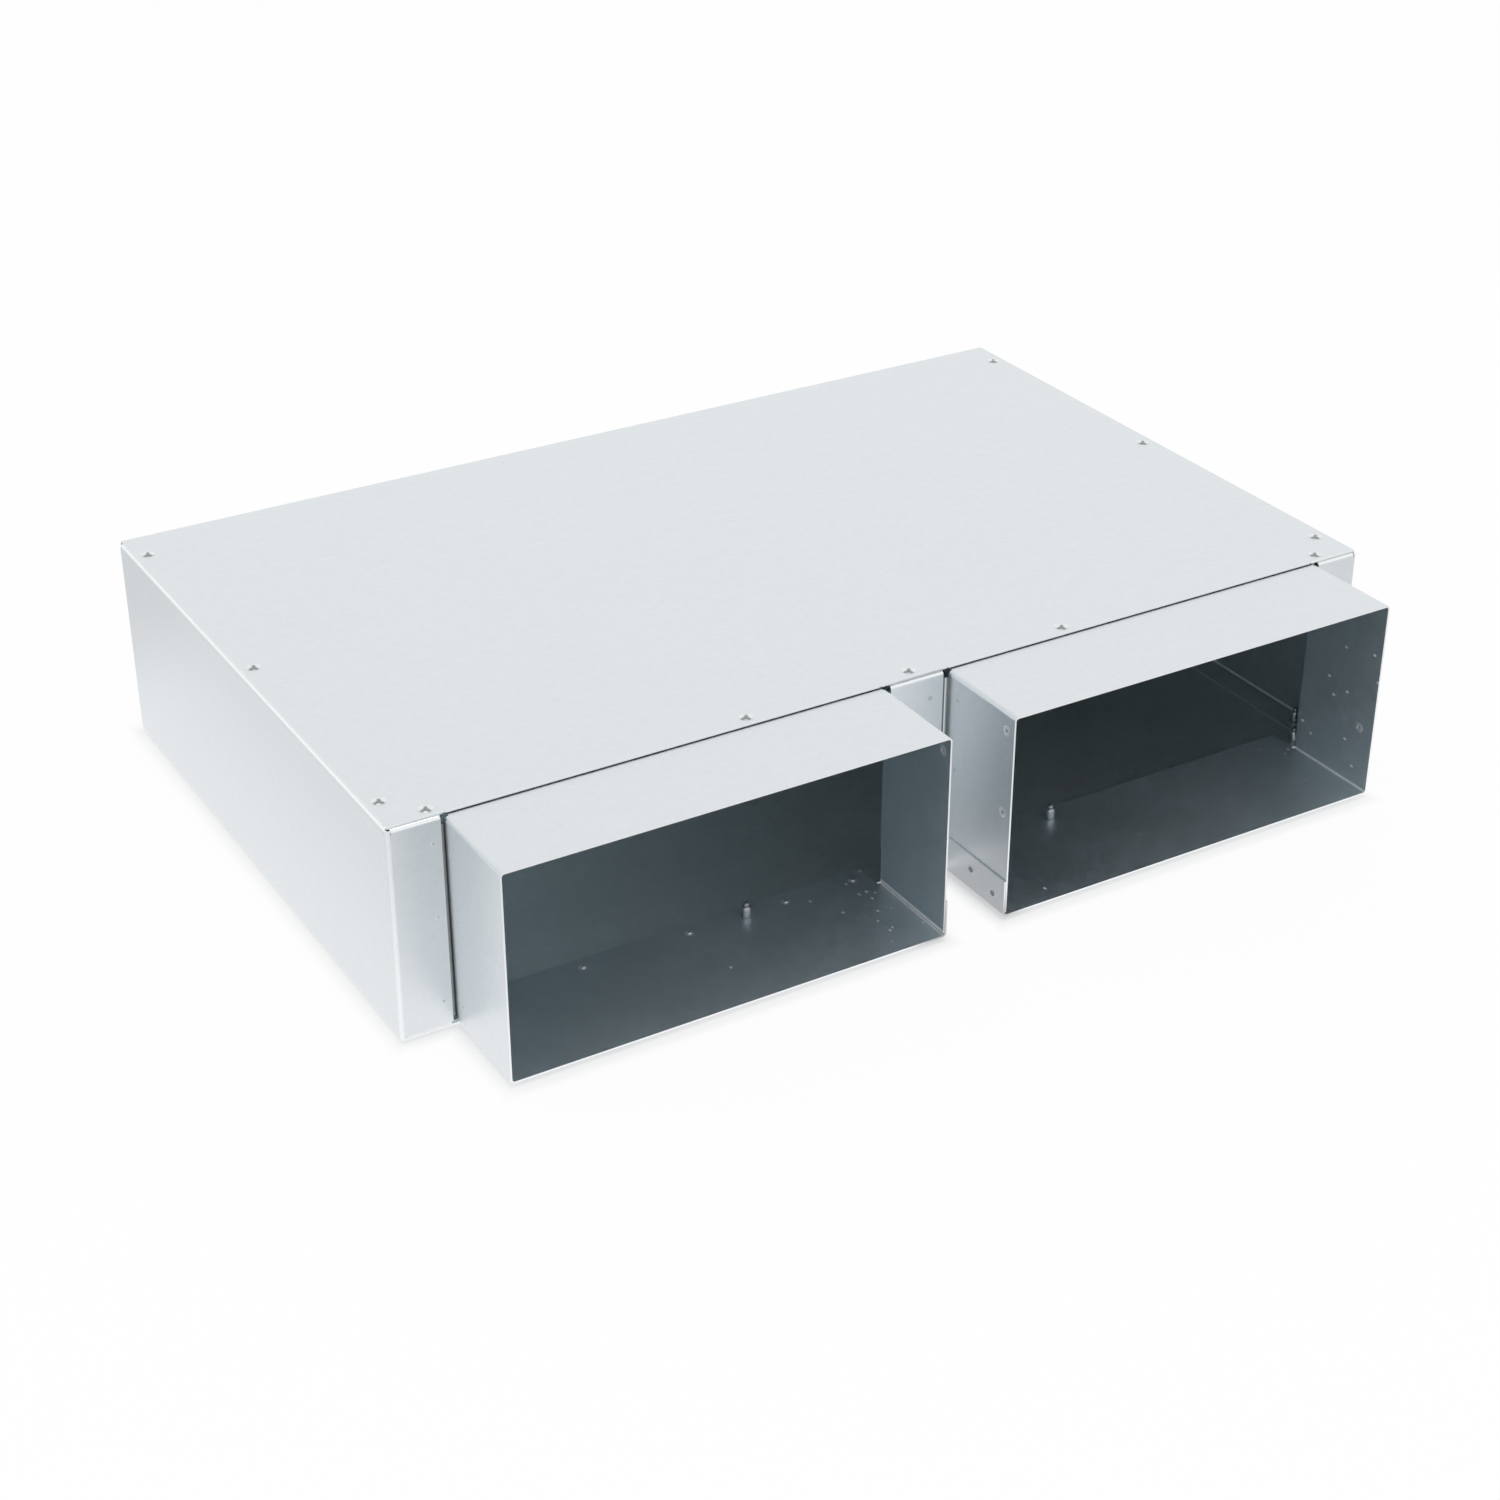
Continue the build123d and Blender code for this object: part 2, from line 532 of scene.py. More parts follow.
        # Painted highlight: the cut edges take the bright colour.
        colour = bench.mixed(edge, sheet, bench.toned(self.bright, 1.0 + self.shear_tone * shear))
        satin = self.roughness + self.cloud_rough * cloud + self.spangle_rough * spangle
        satin = satin + self.streak_rough * streak + self.lining_roughness * inner
        roughness = satin + self.fold_rough * edge.larger(fold)
        wave = bench.noise(self.wave_size, detail=0.0) * self.wave_height
        relief = wave + grain * self.grain_height + speck * self.speck_height
        oxide = inner * self.graded(self.lining_oxide, rightward) * self.graded(self.oxide_climb, upward)
        return bench.metal(colour, roughness, relief, 1.0 - oxide.larger(self.chalk * painted_highlight))

    @staticmethod
    def graded(ends: tuple[float, float], share: Value) -> Value:
        """Go from the first number to the second as a share goes from 0 to 1."""
        return ends[0] + (ends[1] - ends[0]) * share

    def glint_dashes(self, bench: ShaderBench, rightward: Value) -> Value:
        """Mark short bright dashes, painted glints, in a share of the cells.

        Args:
            bench: the material's bench.
            rightward: 0 at the left end of the inner faces and 1 at their right end.

        Returns:
            1 on a dash and 0 elsewhere.
        """
        drawn = bench.stretched((1.0, self.glint_stretch, 1.0))
        share = self.graded(self.glint_share, rightward.rise(*self.glint_wall))
        return self.dotted(*bench.cells(self.glint_spacing, drawn), self.glint_radius, share)

    def dotted(self, distance: Value, chance: Value, radius: float, share: Value | float) -> Value:
        """Put a dot in some of the cells.

        Args:
            distance: the distance from each cell's seed.
            chance: each cell's random number.
            radius: the dot's radius, in that distance's unit.
            share: the share of the cells that have a dot.

        Returns:
            1 on a dot and 0 elsewhere.
        """
        return (1.0 - distance.rise(self.dot_core * radius, radius)) * (chance < share)

    def sheared(self, bench: ShaderBench, edges: Sequence[SheetPlane], lit_edges: Sequence[SheetPlane]) -> Value:
        """Mark the sheet's cut edges, which get a painted highlight.

        Args:
            bench: the material's bench.
            edges: the planes that hold them.
            lit_edges: the planes of edges whose faces beside them get a painted highlight too.

        Returns:
            1 on a cut edge, less on the faces beside an edge of the second kind, and 0 elsewhere.
        """
        masks = [edge.distance(bench) < self.edge_depth for edge in edges]
        masks += [self.lit_edge_shine * (lit_edge.distance(bench) < self.lit_edge_width) for lit_edge in lit_edges]
        return functools.reduce(Value.larger, masks)

    def folded(self, bench: ShaderBench, folds: Sequence[Fold]) -> Value:
        """Mark the sheet's folds, which get burnishing and a painted highlight.

        Args:
            bench: the material's bench.
            folds: the pairs of faces that meet in a fold.

        Returns:
            1 on a fold and 0 elsewhere.
        """
        masks = [self.close(bench, one) * self.close(bench, other) for one, other in folds]
        return functools.reduce(Value.larger, masks)

    def close(self, bench: ShaderBench, plane: SheetPlane) -> Value:
        """Give 1 on a plane, and 0 further from it than a fold reaches."""
        return 1.0 - plane.distance(bench).rise(self.fold_core * self.fold_reach, self.fold_reach)


@dataclass(frozen=True)
class RivetFinish:
    """Tumbled aluminium with a broken steel mandrel; the set tails are darkened most of the way to the steel
    colour as painted shade.
    """

    aluminium: Colour = (0.80, 0.82, 0.83)
    steel: Colour = (0.30, 0.31, 0.32)
    aluminium_roughness: float = 0.19
    steel_roughness: float = 0.42
    dent_size: float = 1.1 * MM
    dent_tone: float = 0.16
    dent_rough: float = 0.12
    dent_height: float = 0.012 * MM

    def material(self, name: str) -> bpy.types.Material:
        """Make the finish.

        Args:
            name: the material's name.

        Returns:
            The material.
        """
        bench = ShaderBench(name)
        dents = bench.noise(self.dent_size, detail=3.0) - 0.5
        steel = bench.attribute(TurnedSolid.STEEL_AND_SHADE)
        tone = 1.0 + self.dent_tone * dents
        colour = bench.mixed(steel, bench.toned(self.aluminium, tone), bench.toned(self.steel, tone))
        dull = self.steel_roughness - self.aluminium_roughness
        roughness = self.aluminium_roughness + dull * steel + self.dent_rough * dents
        return bench.metal(colour, roughness, dents * self.dent_height)


@dataclass(frozen=True)
class PressMarkFinish:
    """Zinc that a tool has pressed or heated, darker and duller where the tool bit: heat tint on a weld spot,
    painted shade in a pressed mark.

    Attributes:
        zinc: the colour of the zinc.
        heat_tint_and_shade: the colour of the dark bite: heat tint on a weld spot, painted shade in a pressed
            mark.
        bite_darkness: how much of that colour the bites take.
        scorch_shares: how much of that all spots have, dirt adds and chance adds.
        bare: how bare the metal is of dull oxide.
        chance_limits: the levels of the noise that give no chance and full chance.
    """

    zinc: Colour = (0.80, 0.83, 0.85)
    heat_tint_and_shade: Colour = (0.16, 0.17, 0.18)
    bite_darkness: float = 0.9
    scorch_shares: tuple[float, float, float] = (0.3, 0.3, 0.4)
    scorch_rough: float = 0.2
    bare: float = 0.75
    roughness: float = 0.34
    dirt_size: float = 0.6 * MM
    dirt_tone: float = 0.2
    dirt_height: float = 0.006 * MM
    chance_size: float = 23 * MM
    chance_limits: tuple[float, float] = (0.3, 0.7)

    def material(self, name: str) -> bpy.types.Material:
        """Make the finish.

        Args:
            name: the material's name.

        Returns:
            The material.
        """
        bench = ShaderBench(name)
        dirt = bench.noise(self.dirt_size)
        chance = bench.noise(self.chance_size, detail=0.0).rise(*self.chance_limits)
        always, by_dirt, by_chance = self.scorch_shares
        bitten = always + by_dirt * dirt + by_chance * chance
        # The bite's dark colour: heat tint on weld spots, painted shade on pressed marks.
        heat_tint_and_shade = bench.attribute(TurnedSolid.STEEL_AND_SHADE) * bitten * self.bite_darkness
        zinc = bench.toned(self.zinc, 1.0 + self.dirt_tone * (dirt - 0.5))
        colour = bench.mixed(heat_tint_and_shade, zinc, self.heat_tint_and_shade)
        roughness = self.roughness + self.scorch_rough * heat_tint_and_shade
        return bench.metal(colour, roughness, dirt * self.dirt_height, self.bare)


@dataclass(frozen=True)
class Site:
    """A place on a face where a turned solid sits.

    Attributes:
        place: the point on the face.
        facing: the side that the face looks to.
        grip: how far behind the face the solid's tail starts.
    """

    place: Vector
    facing: Facing
    grip: float = 0.0


@dataclass(frozen=True)
class ProfilePoint:
    """A point of a turned profile: its radius, and its height over the face or over the tail's start."""

    radius: Value | float
    height: Value | float


@dataclass(frozen=True)
class Profile:
    """A turned profile, from the top of the axis to its bottom.

    Attributes:
        points: its points.
        tail_from: the first point that stands behind the grip.
        steel_until: the last point of the dark patch at the top: the mandrel's steel on a rivet, heat tint on
            a weld spot, painted shade on the other marks.
        steel_from: the first point of the steel patch at the tail's end.
    """

    points: list[ProfilePoint]
    tail_from: int
    steel_until: int
    steel_from: int


class TurnedSolid:
    """Geometry Nodes tree that turns a profile about an axis and sets the solid on every site."""

    # The steel attribute marks the mandrel's steel, the tails' painted shade and the marks' dark bites.
    STEEL_AND_SHADE = "steel"
    TAIL = "tail"
    FACING = "facing"
    GRIP = "grip"
    SCRATCH = (TAIL, FACING, GRIP)
    SHARP_ANGLE = math.radians(38)
    WELD_DISTANCE = 0.001 * MM
    TURN_RADIUS = 1.0 * MM
    HALF_STEP = 0.5
    # How far the tails are darkened towards the steel colour, as painted shade.
    TAIL_PAINTED_SHADE = 0.75

    def __init__(self, name: str, sizes: dict[str, float],
                 profile: Callable[[dict[str, Value]], Profile]) -> None:
        """Build the tree.

        Args:
            name: the tree's name, which is its piece's name too.
            sizes: the named lengths that the profile is worked out from.
            profile: makes the profile from those lengths.
        """
        self.name = name
        self.sizes = sizes
        self.group = bpy.data.node_groups.new(name, "GeometryNodeTree")
        self.bench = NodeBench(self.group)
        self.sockets = {"Sites": self.socket("Sites", "NodeSocketGeometry")}
        for size in sizes:
            self.sockets[size] = self.socket(size, "NodeSocketFloat")
        self.sockets["Segments"] = self.socket("Segments", "NodeSocketInt")
        self.sockets["Spin"] = self.socket("Spin", "NodeSocketFloat")
        self.sockets["Stretch"] = self.socket("Stretch", "NodeSocketVector")
        self.sockets["Seed"] = self.socket("Seed", "NodeSocketInt")
        self.sockets["Finish"] = self.socket("Finish", "NodeSocketMaterial")
        self.group.interface.new_socket("Solids", in_out="OUTPUT", socket_type="NodeSocketGeometry")
        self.entry = self.bench.add("NodeGroupInput")
        solid = self.turned(profile({size: self.bench.value(self.entry, size) for size in sizes}))
        self.placed(solid)

    def socket(self, name: str, kind: str) -> str:
        """Add a named input to the tree and give its identifier."""
        return self.group.interface.new_socket(name, in_out="INPUT", socket_type=kind).identifier

    def given(self, name: str) -> bpy.types.NodeSocket:
        """Give the link of one of the tree's inputs."""
        return self.bench.link(self.entry, name)

    def stored(self, name: str, kind: str) -> bpy.types.NodeSocket:
        """Read an attribute of the points."""
        node = self.bench.add("GeometryNodeInputNamedAttribute", {"data_type": kind}, {"Name": name})
        return self.bench.link(node, "Attribute")

    def marked(self, geometry: bpy.types.NodeSocket, name: str, mark: Value) -> bpy.types.NodeSocket:
        """Store a number at each point.

        Args:
            geometry: the points.
            name: the attribute's name.
            mark: the number.

        Returns:
            The points with the attribute.
        """
        node = self.bench.add("GeometryNodeStoreNamedAttribute", {"data_type": "FLOAT", "domain": "POINT"},
                              {"Geometry": geometry, "Name": name, "Value": mark})
        return self.bench.link(node, "Geometry")

    def turned(self, profile: Profile) -> bpy.types.NodeSocket:
        """Turn the profile about the axis.

        Args:
            profile: the profile.

        Returns:
            The solid, standing on the origin along +Z.
        """
        bench = self.bench
        count = len(profile.points)
        index = bench.value(bench.add("GeometryNodeInputIndex"), "Index")
        switch_inputs: dict[str | int, Entry] = {"Index": index}
        for number, point in enumerate(profile.points):
            spot = bench.add("ShaderNodeCombineXYZ", {},
                             {"X": point.radius - self.TURN_RADIUS, "Y": -1.0 * point.height})
            switch_inputs[str(number)] = bench.link(spot, "Vector")
        spots = bench.add("GeometryNodeIndexSwitch", {"data_type": "VECTOR", "items": count}, switch_inputs)
        line = bench.add("GeometryNodeMeshLine", {}, {"Count": count})
        shaped = bench.add("GeometryNodeSetPosition", {},
                           {"Geometry": bench.link(line, "Mesh"), "Position": bench.link(spots, "Output")})
        tail = index > profile.tail_from - self.HALF_STEP
        stub = index < profile.steel_until + self.HALF_STEP
        steel = stub.larger(index > profile.steel_from - self.HALF_STEP)
        outline = self.marked(bench.link(shaped, "Geometry"), self.TAIL, tail)
        # The tails take part of the steel colour as painted shade.
        outline = self.marked(outline, self.STEEL_AND_SHADE, steel.larger(self.TAIL_PAINTED_SHADE * tail))
        curve = bench.add("GeometryNodeMeshToCurve", {}, {"Mesh": outline})
        circle = bench.add("GeometryNodeCurvePrimitiveCircle", {},
                           {"Resolution": self.given("Segments"), "Radius": self.TURN_RADIUS})
        wall = bench.add("GeometryNodeCurveToMesh", {},
                         {"Curve": bench.link(circle, "Curve"), "Profile Curve": bench.link(curve, "Curve")})
        welded = bench.add("GeometryNodeMergeByDistance", {},
                           {"Geometry": bench.link(wall, "Mesh"), "Distance": self.WELD_DISTANCE})
        angle = bench.value(bench.add("GeometryNodeInputMeshEdgeAngle"), "Unsigned Angle")
        smooth = bench.add("GeometryNodeSetShadeSmooth", {"domain": "FACE"},
                           {"Geometry": bench.link(welded, "Geometry"), "Shade Smooth": True})
        creased = bench.add("GeometryNodeSetShadeSmooth", {"domain": "EDGE"}, {
            "Geometry": bench.link(smooth, "Geometry"),
            "Shade Smooth": angle < self.SHARP_ANGLE,
        })
        return bench.link(creased, "Geometry")

    def placed(self, solid: bpy.types.NodeSocket) -> None:
        """Set the solid on every site, stretch its shank to the grip, and close the tree.

        Args:
            solid: the turned solid.
        """
        bench = self.bench
        facing = self.stored(self.FACING, "FLOAT_VECTOR")
        upright = bench.add("FunctionNodeAlignRotationToVector", {"axis": "Z"}, {"Vector": facing})
        chance = bench.add("FunctionNodeRandomValue", {"data_type": "FLOAT"},
                           {"Min": 0.0, "Max": self.given("Spin"), "Seed": self.given("Seed")})
        turn = bench.add("FunctionNodeAxisAngleToRotation", {},
                         {"Axis": Facing.UP.value, "Angle": bench.link(chance, "Value")})
        spun = bench.add("FunctionNodeRotateRotation", {"rotation_space": "LOCAL"}, {
            "Rotation": bench.link(upright, "Rotation"),
            "Rotate By": bench.link(turn, "Rotation"),
        })
        copies = bench.add("GeometryNodeInstanceOnPoints", {}, {
            "Points": self.given("Sites"),
            "Instance": solid,
            "Rotation": bench.link(spun, "Rotation"),
            "Scale": self.given("Stretch"),
        })
        real = bench.add("GeometryNodeRealizeInstances", {}, {"Geometry": bench.link(copies, "Instances")})
        reach = Value(bench, self.stored(self.TAIL, "FLOAT")) * Value(bench, self.stored(self.GRIP, "FLOAT"))
        back = bench.add("ShaderNodeVectorMath", {"operation": "SCALE"},
                         {"Vector": self.stored(self.FACING, "FLOAT_VECTOR"), "Scale": -reach})
        moved = bench.add("GeometryNodeSetPosition", {},
                          {"Geometry": bench.link(real, "Geometry"), "Offset": bench.link(back, "Vector")})
        dressed = bench.add("GeometryNodeSetMaterial", {},
                            {"Geometry": bench.link(moved, "Geometry"), "Material": self.given("Finish")})
        bench.add("NodeGroupOutput", {}, {"Solids": bench.link(dressed, "Geometry")})

    def piece(self, sites: Sequence[Site], finish: bpy.types.Material, segments: int, seed: int,
              spin: float = math.tau, stretch: Sequence[float] = (1.0, 1.0, 1.0)) -> bpy.types.Object:
        """Make the plain mesh of all the copies.

        Args:
            sites: where the copies sit.
            finish: their material.
            segments: the sides of a turn.
            seed: the seed of the random turns.
            spin: the widest random turn.
            stretch: the copies' scale across, along and up.

        Returns:
            The piece, with no modifier left.
        """
        mesh = bpy.data.meshes.new(self.name)
        mesh.from_pydata([site.place for site in sites], [], [])
        mesh.attributes.new(self.FACING, "FLOAT_VECTOR", "POINT")
        mesh.attributes.new(self.GRIP, "FLOAT", "POINT")
        for number, site in enumerate(sites):
            mesh.attributes[self.FACING].data[number].vector = site.facing.value
            mesh.attributes[self.GRIP].data[number].value = site.grip
        piece = bpy.data.objects.new(self.name, mesh)
        bpy.context.scene.collection.objects.link(piece)
        modifier = piece.modifiers.new(self.name, "NODES")
        modifier.node_group = self.group
        settings = {**self.sizes, "Segments": segments, "Spin": spin, "Stretch": stretch, "Seed": seed,
                    "Finish": finish}
        for name, setting in settings.items():
            modifier[self.sockets[name]] = setting
        graph = bpy.context.evaluated_depsgraph_get()
        solid = bpy.data.meshes.new_from_object(piece.evaluated_get(graph), preserve_all_data_layers=True,
                                                depsgraph=graph)
        piece.modifiers.remove(modifier)
        piece.data = solid
        solid.materials.clear()
        solid.materials.append(finish)
        solid.polygons.foreach_set("material_index", [0] * len(solid.polygons))
        for name in self.SCRATCH:
            solid.attributes.remove(solid.attributes[name])
        return piece


@dataclass
class FoldedSheets:
    """The four folded sheets: the casing's wrap, its front and sides, and the two spigots.

    Attributes:
        spigot_near: how far from the middle the spigots' seam walls stand.
        spigot_far: how far from the middle their other walls stand.
        root: the depth of the folds at the spigots' roots that are painted darker as painted shade, from
            front to back.
        root_reach: how far those folds reach past the walls.
        strip_edges: how far from the middle the cut edges of the front's strips lie.
        seam_foot: the height of the seam walls' lower ends, from bottom to top.
        between: the strip of the front between the spigots, which is painted lighter as painted light.
        spigot_finish: the finish of a spigot before its own oxide and painted glints.
    """

    wrap: str = "casing_wrap"
    front: str = "front_and_sides"
    spigots: tuple[str, str] = ("left_spigot", "right_spigot")
    spigot_near: float = 15.4 * MM
    spigot_far: float = 225.0 * MM
    root: tuple[float, float] = (-130.6 * MM, -128.9 * MM)
    root_reach: float = 3.0 * MM
    strip_edges: tuple[float, float] = (13.6 * MM, 226.4 * MM)
    half_gauge: float = 0.4 * MM
    seam_foot: tuple[float, float] = (4.4 * MM, 5.9 * MM)
    between: tuple[float, float] = (-14 * MM, 14 * MM)
    casing_finish: ZincSheetFinish = ZincSheetFinish()
    # The spigots' darker lining colour is painted shade inside their ducts.
    spigot_finish: ZincSheetFinish = ZincSheetFinish(
        lining=(0.62, 0.70, 0.745), painted_lining_shade=0.0, lining_roughness=0.11, chalk=0.6, fold_shine=0.55)
    left_finish: ZincSheetFinish = replace(spigot_finish, lining_oxide=(0.07, 0.10), glint_share=(0.02, 0.6))
    right_finish: ZincSheetFinish = replace(spigot_finish, lining_oxide=(0.0, 0.09), glint_share=(0.01, 0.06))

    def lining(self, node: str) -> Zone:
        """Give the space inside a sheet's skin, from its box in the frame."""
        low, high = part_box(node)
        skin = Vector.Fill(3, self.half_gauge)
        return Zone(low + skin, high - skin)

    @staticmethod
    def upright(walls: Sequence[float], depth: Sequence[float], height: Sequence[float]) -> Zone:
        """Make a zone from its limits across, along and up, in either order."""
        limits = [sorted(pair) for pair in (walls, depth, height)]
        return Zone(Vector([pair[0] for pair in limits]), Vector([pair[1] for pair in limits]))

    def wrap_plan(self) -> SheetPlan:
        """Lay out the finish of the top, back and bottom."""
        low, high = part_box(self.wrap)
        front = SheetPlane(Axis.Y, low.y)
        back = SheetPlane(Axis.Y, high.y)
        folds = [(back, SheetPlane(Axis.Z, level)) for level in (low.z, high.z)]
        # The wrap's cut edges get a painted highlight, and the faces beside its front edge too.
        return SheetPlan([SheetPlane(Axis.X, high.x, True), front], folds, self.lining(self.wrap), [front])

    def front_plan(self) -> SheetPlan:
        """Lay out the finish of the front and sides."""
        low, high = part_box(self.front)
        edges = [SheetPlane(Axis.X, place, True) for place in self.strip_edges]
        side = SheetPlane(Axis.X, high.x, True)
        front, back = SheetPlane(Axis.Y, low.y), SheetPlane(Axis.Y, high.y)
        folds = [(side, front), (side, back)]
        for level in (low.z, high.z):
            folds += [(side, SheetPlane(Axis.Z, level)), (front, SheetPlane(Axis.Z, level))]
        face = (low.y - self.half_gauge, low.y + self.half_gauge)
        # The strip of the front between the spigots gets painted light.
        middle = self.upright(self.between, face, (low.z, high.z))
        return SheetPlan(edges, folds, self.lining(self.front), painted_light_zones=[middle])

    def spigot_plan(self, node: str, hand: float) -> SheetPlan:
        """Lay out the finish of one spigot.

        Args:
            node: the spigot's node.
            hand: -1 for the left one and 1 for the right one.

        Returns:
            The plan.
        """
        low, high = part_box(node)
        gauge = 2 * self.half_gauge
        near, far, reach = hand * self.spigot_near, hand * self.spigot_far, hand * self.root_reach
        tall, mouth, tongue = (low.z, high.z), SheetPlane(Axis.Y, low.y), SheetPlane(Axis.Y, high.y)
        walls = [SheetPlane(Axis.X, place, True) for place in (self.spigot_near, self.spigot_far)]
        # The folds at the walls' feet get a painted highlight inside.
        folds = [(wall, SheetPlane(Axis.Z, low.z)) for wall in walls]
        skin = self.half_gauge
        lining = self.upright((near + hand * gauge, far - hand * skin), (low.y, high.y),
                              (low.z + skin, high.z - skin))
        # The hollow folds at the walls' roots get painted shade.
        creases = [self.upright((far - hand * skin, far + reach), self.root, tall),
                   self.upright((near - reach, near - hand * skin), self.root, tall)]
        # The seam wall's lower end gets a chalky painted highlight.
        seam = self.upright((near, near + hand * 2 * gauge), (low.y, self.root[0]), self.seam_foot)
        # The mouth's cut edge and the faces beside the tongue's edge get a painted highlight.
        return SheetPlan([mouth], folds, lining, [tongue], creases, [seam])

    def dress(self) -> None:
        """Give each sheet its finish."""
        left, right = self.spigots
        looks = {
            self.wrap: (self.casing_finish, self.wrap_plan()),
            self.front: (self.casing_finish, self.front_plan()),
            left: (self.left_finish, self.spigot_plan(left, -1.0)),
            right: (self.right_finish, self.spigot_plan(right, 1.0)),
        }
        for node, (finish, plan) in looks.items():
            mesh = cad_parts[node].data
            mesh.materials.clear()
            mesh.materials.append(finish.material(f"zinc_{node}", plan))
            LOG.info("dressed %s", node)


@dataclass
class BlindRivets:
    """The blind rivets that close the casing, with their domed heads, mandrel pits and set tails.

    Attributes:
        PIT: points of the pit's floor, as shares of its radius and heights over the floor.
        STUB_END: the last of these that lies on the mandrel's steel.
        LIP: points of the pit's lip, as shares of the pit's radius and depths under the crown.
        DOME: points of the dome, as shares of the head's radius.
        EDGE: the height of the head's upright edge, and the share of its radius under the edge's bevel.
        BULB: points of the bulb, as shares of its length and of its radius.
        BUTTON: points of the mandrel's button, as shares of its length and of its radius.
        NECK: where the button leaves the bulb, as a share of the button's radius.
    """

    PIT: ClassVar[Pairs] = ((0.0, 0.12 * MM), (0.45, 0.1 * MM), (0.8, 0.0), (0.96, 0.0))
    STUB_END: ClassVar[int] = 1
    LIP: ClassVar[Pairs] = ((1.0, 0.12 * MM), (1.12, 0.02 * MM))
    DOME: ClassVar[tuple[float, ...]] = (0.5, 0.62, 0.74, 0.84, 0.92, 0.97)
    EDGE: ClassVar[tuple[float, float]] = (0.04 * MM, 0.985)
    BULB: ClassVar[Pairs] = ((0.0, 0.86), (0.06, 0.97), (0.25, 1.0), (0.5, 1.0), (0.72, 0.97), (0.88, 0.89),
                             (0.97, 0.79), (1.0, 0.7))
    BUTTON: ClassVar[Pairs] = ((0.12, 1.0), (0.45, 0.97), (0.75, 0.8), (0.93, 0.5), (1.0, 0.0))
    NECK: ClassVar[float] = 0.92

    upper_rows: tuple[str, ...] = ("top_front_rivets", "top_left_rivets", "top_right_rivets")
    lower_rows: tuple[str, ...] = ("bottom_front_rivets", "bottom_left_rivets", "bottom_right_rivets")
    head_diameter: float = 6.5 * MM
    head_height: float = 0.9 * MM
    rim_height: float = 0.14 * MM
    pit_diameter: float = 1.9 * MM
    pit_depth: float = 0.3 * MM
    shank_diameter: float = 3.2 * MM
    bulb_diameter: float = 4.8 * MM
    bulb_length: float = 5.5 * MM
    button_diameter: float = 3.1 * MM
    button_length: float = 1.9 * MM
    segments: int = 28
    seed: int = 7
    finish: RivetFinish = RivetFinish()

    def sizes(self) -> dict[str, float]:
        """Give the lengths that the profile is worked out from."""
        return {
            "Head diameter": self.head_diameter,
            "Head height": self.head_height,
            "Rim height": self.rim_height,
            "Pit diameter": self.pit_diameter,
            "Pit depth": self.pit_depth,
            "Shank diameter": self.shank_diameter,
            "Bulb diameter": self.bulb_diameter,
            "Bulb length": self.bulb_length,
            "Button diameter": self.button_diameter,
            "Button length": self.button_length,
        }

    @classmethod
    def profile(cls, size: dict[str, Value]) -> Profile:
        """Work out half a rivet's outline: mandrel pit, dome, rim, shank, bulb and the mandrel's button.

        Args:
            size: the rivet's lengths.

        Returns:
            The profile.
        """
        parts = ("Head", "Pit", "Shank", "Bulb", "Button")
        head, pit, shank, bulb, button = (size[f"{part} diameter"] * 0.5 for part in parts)
        top, rim, length = size["Head height"], size["Rim height"], size["Bulb length"]
        crown, pit_floor = top - rim, top - size["Pit depth"]
        edge_height, bevel = cls.EDGE
        points = [ProfilePoint(pit * share, pit_floor + rise) for share, rise in cls.PIT]
        points += [ProfilePoint(pit * share, top - depth) for share, depth in cls.LIP]
        points += [ProfilePoint(head * share, rim + crown * (1.0 - share**2)) for share in cls.DOME]
        points += [ProfilePoint(head, rim), ProfilePoint(head, edge_height)]
        points += [ProfilePoint(head * bevel, 0.0), ProfilePoint(shank, 0.0)]
        tail_from = len(points)
        points.append(ProfilePoint(shank, 0.0))
        points += [ProfilePoint(bulb * girth, -(length * share)) for share, girth in cls.BULB]
        points.append(ProfilePoint(button * cls.NECK, -length))
        steel_from = len(points)
        points += [ProfilePoint(button * girth, -(length + size["Button length"] * share))
                   for share, girth in cls.BUTTON]
        return Profile(points, tail_from, cls.STUB_END, steel_from)

    def row(self, node: str, facing: Facing) -> list[Site]:
        """Find the rivets of one row in the frame.

        Args:
            node: the row's node.
            facing: the side that its heads look to.

        Returns:
            A site for each rivet, on the outer face of the sheet.
        """
        points = [vertex.co.copy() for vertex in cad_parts[node].data.vertices]
        low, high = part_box(node)
        span = high - low
        run = Axis.X if span.x > span.y else Axis.Y
        points.sort(key=lambda point: point[run.value])
        groups = [[points[0]]]
        for before, point in zip(points, points[1:]):
            if point[run.value] - before[run.value] > self.head_diameter:
                groups.append([])
            groups[-1].append(point)
        return [self.site(group, facing) for group in groups]

    def site(self, points: Sequence[Vector], facing: Facing) -> Site:
        """Read one rivet's seat and grip off its solid.

        Args:
            points: the points of the solid.
            facing: the side that its head looks to.

        Returns:
            The site.
        """
        spans = [(min(point[axis.value] for point in points), max(point[axis.value] for point in points))
                 for axis in Axis]
        middle = [(least + most) / 2 for least, most in spans]
        least, most = spans[Axis.Z.value]
        upward = facing is Facing.UP
        seat = most - self.head_height if upward else least + self.head_height
        grip = most - least - self.head_height - self.bulb_length
        return Site(Vector((middle[0], middle[1], seat)), facing, grip)

